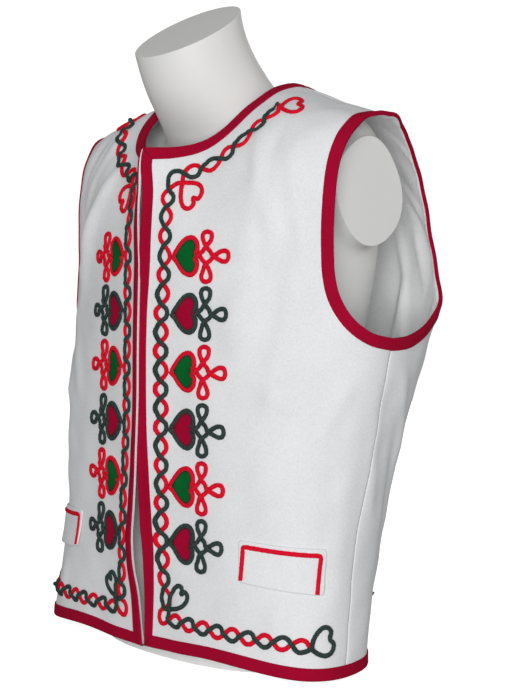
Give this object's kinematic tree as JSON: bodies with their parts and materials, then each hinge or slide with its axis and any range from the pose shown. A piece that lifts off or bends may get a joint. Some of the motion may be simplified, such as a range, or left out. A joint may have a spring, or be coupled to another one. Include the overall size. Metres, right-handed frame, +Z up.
{
  "type": "embroidered folk vest on a torso dress form",
  "caption": "White sleeveless folk vest, open at the front, with crimson bound edges, corded plaits and heart motifs, worn by an armless torso dress form.",
  "frame": {"origin": "middle of the bounding box, on the floor under the form's base", "axes": "+Z up, the wearer faces -Y, the wearer's left is +X"},
  "size_m": [0.5008, 0.3457, 0.7588],
  "materials": {
    "white_wool": "matt felted wool",
    "white_lining": "matt plain weave",
    "crimson_binding": "matt folded braid",
    "red_cord": "couched wool cord",
    "dark_green_cord": "couched wool cord",
    "green_felt": "felt",
    "crimson_felt": "felt",
    "form_shell": "satin moulded shell",
    "form_base": "matt black"
  },
  "bodies": {
    "root": {"back": "white_wool", "back_lining": "white_lining", "form_base": "form_base", "form_torso": "form_shell", "hem_binding": "crimson_binding", "left_armhole_binding": "crimson_binding", "left_back_heart": "crimson_felt", "left_back_motif": "dark_green_cord", "left_facing": "white_lining", "left_flap_cord": "red_cord", "left_front": "white_wool", "left_front_binding": "crimson_binding", "left_heart_1": "green_felt", "left_heart_2": "crimson_felt", "left_heart_3": "green_felt", "left_heart_4": "crimson_felt", "left_heart_5": "green_felt", "left_heart_6": "crimson_felt", "left_motif_1": "red_cord", "left_motif_2": "dark_green_cord", "left_motif_3": "red_cord", "left_motif_4": "dark_green_cord", "left_motif_5": "red_cord", "left_motif_6": "dark_green_cord", "left_plait_green": "dark_green_cord", "left_plait_red": "red_cord", "left_pocket_flap": "white_wool", "neck_binding": "crimson_binding", "right_armhole_binding": "crimson_binding", "right_back_heart": "crimson_felt", "right_back_motif": "dark_green_cord", "right_facing": "white_lining", "right_flap_cord": "red_cord", "right_front": "white_wool", "right_front_binding": "crimson_binding", "right_heart_1": "green_felt", "right_heart_2": "crimson_felt", "right_heart_3": "green_felt", "right_heart_4": "crimson_felt", "right_heart_5": "green_felt", "right_heart_6": "crimson_felt", "right_motif_1": "red_cord", "right_motif_2": "dark_green_cord", "right_motif_3": "red_cord", "right_motif_4": "dark_green_cord", "right_motif_5": "red_cord", "right_motif_6": "dark_green_cord", "right_plait_green": "dark_green_cord", "right_plait_red": "red_cord", "right_pocket_flap": "white_wool"}
  },
  "joints": []
}
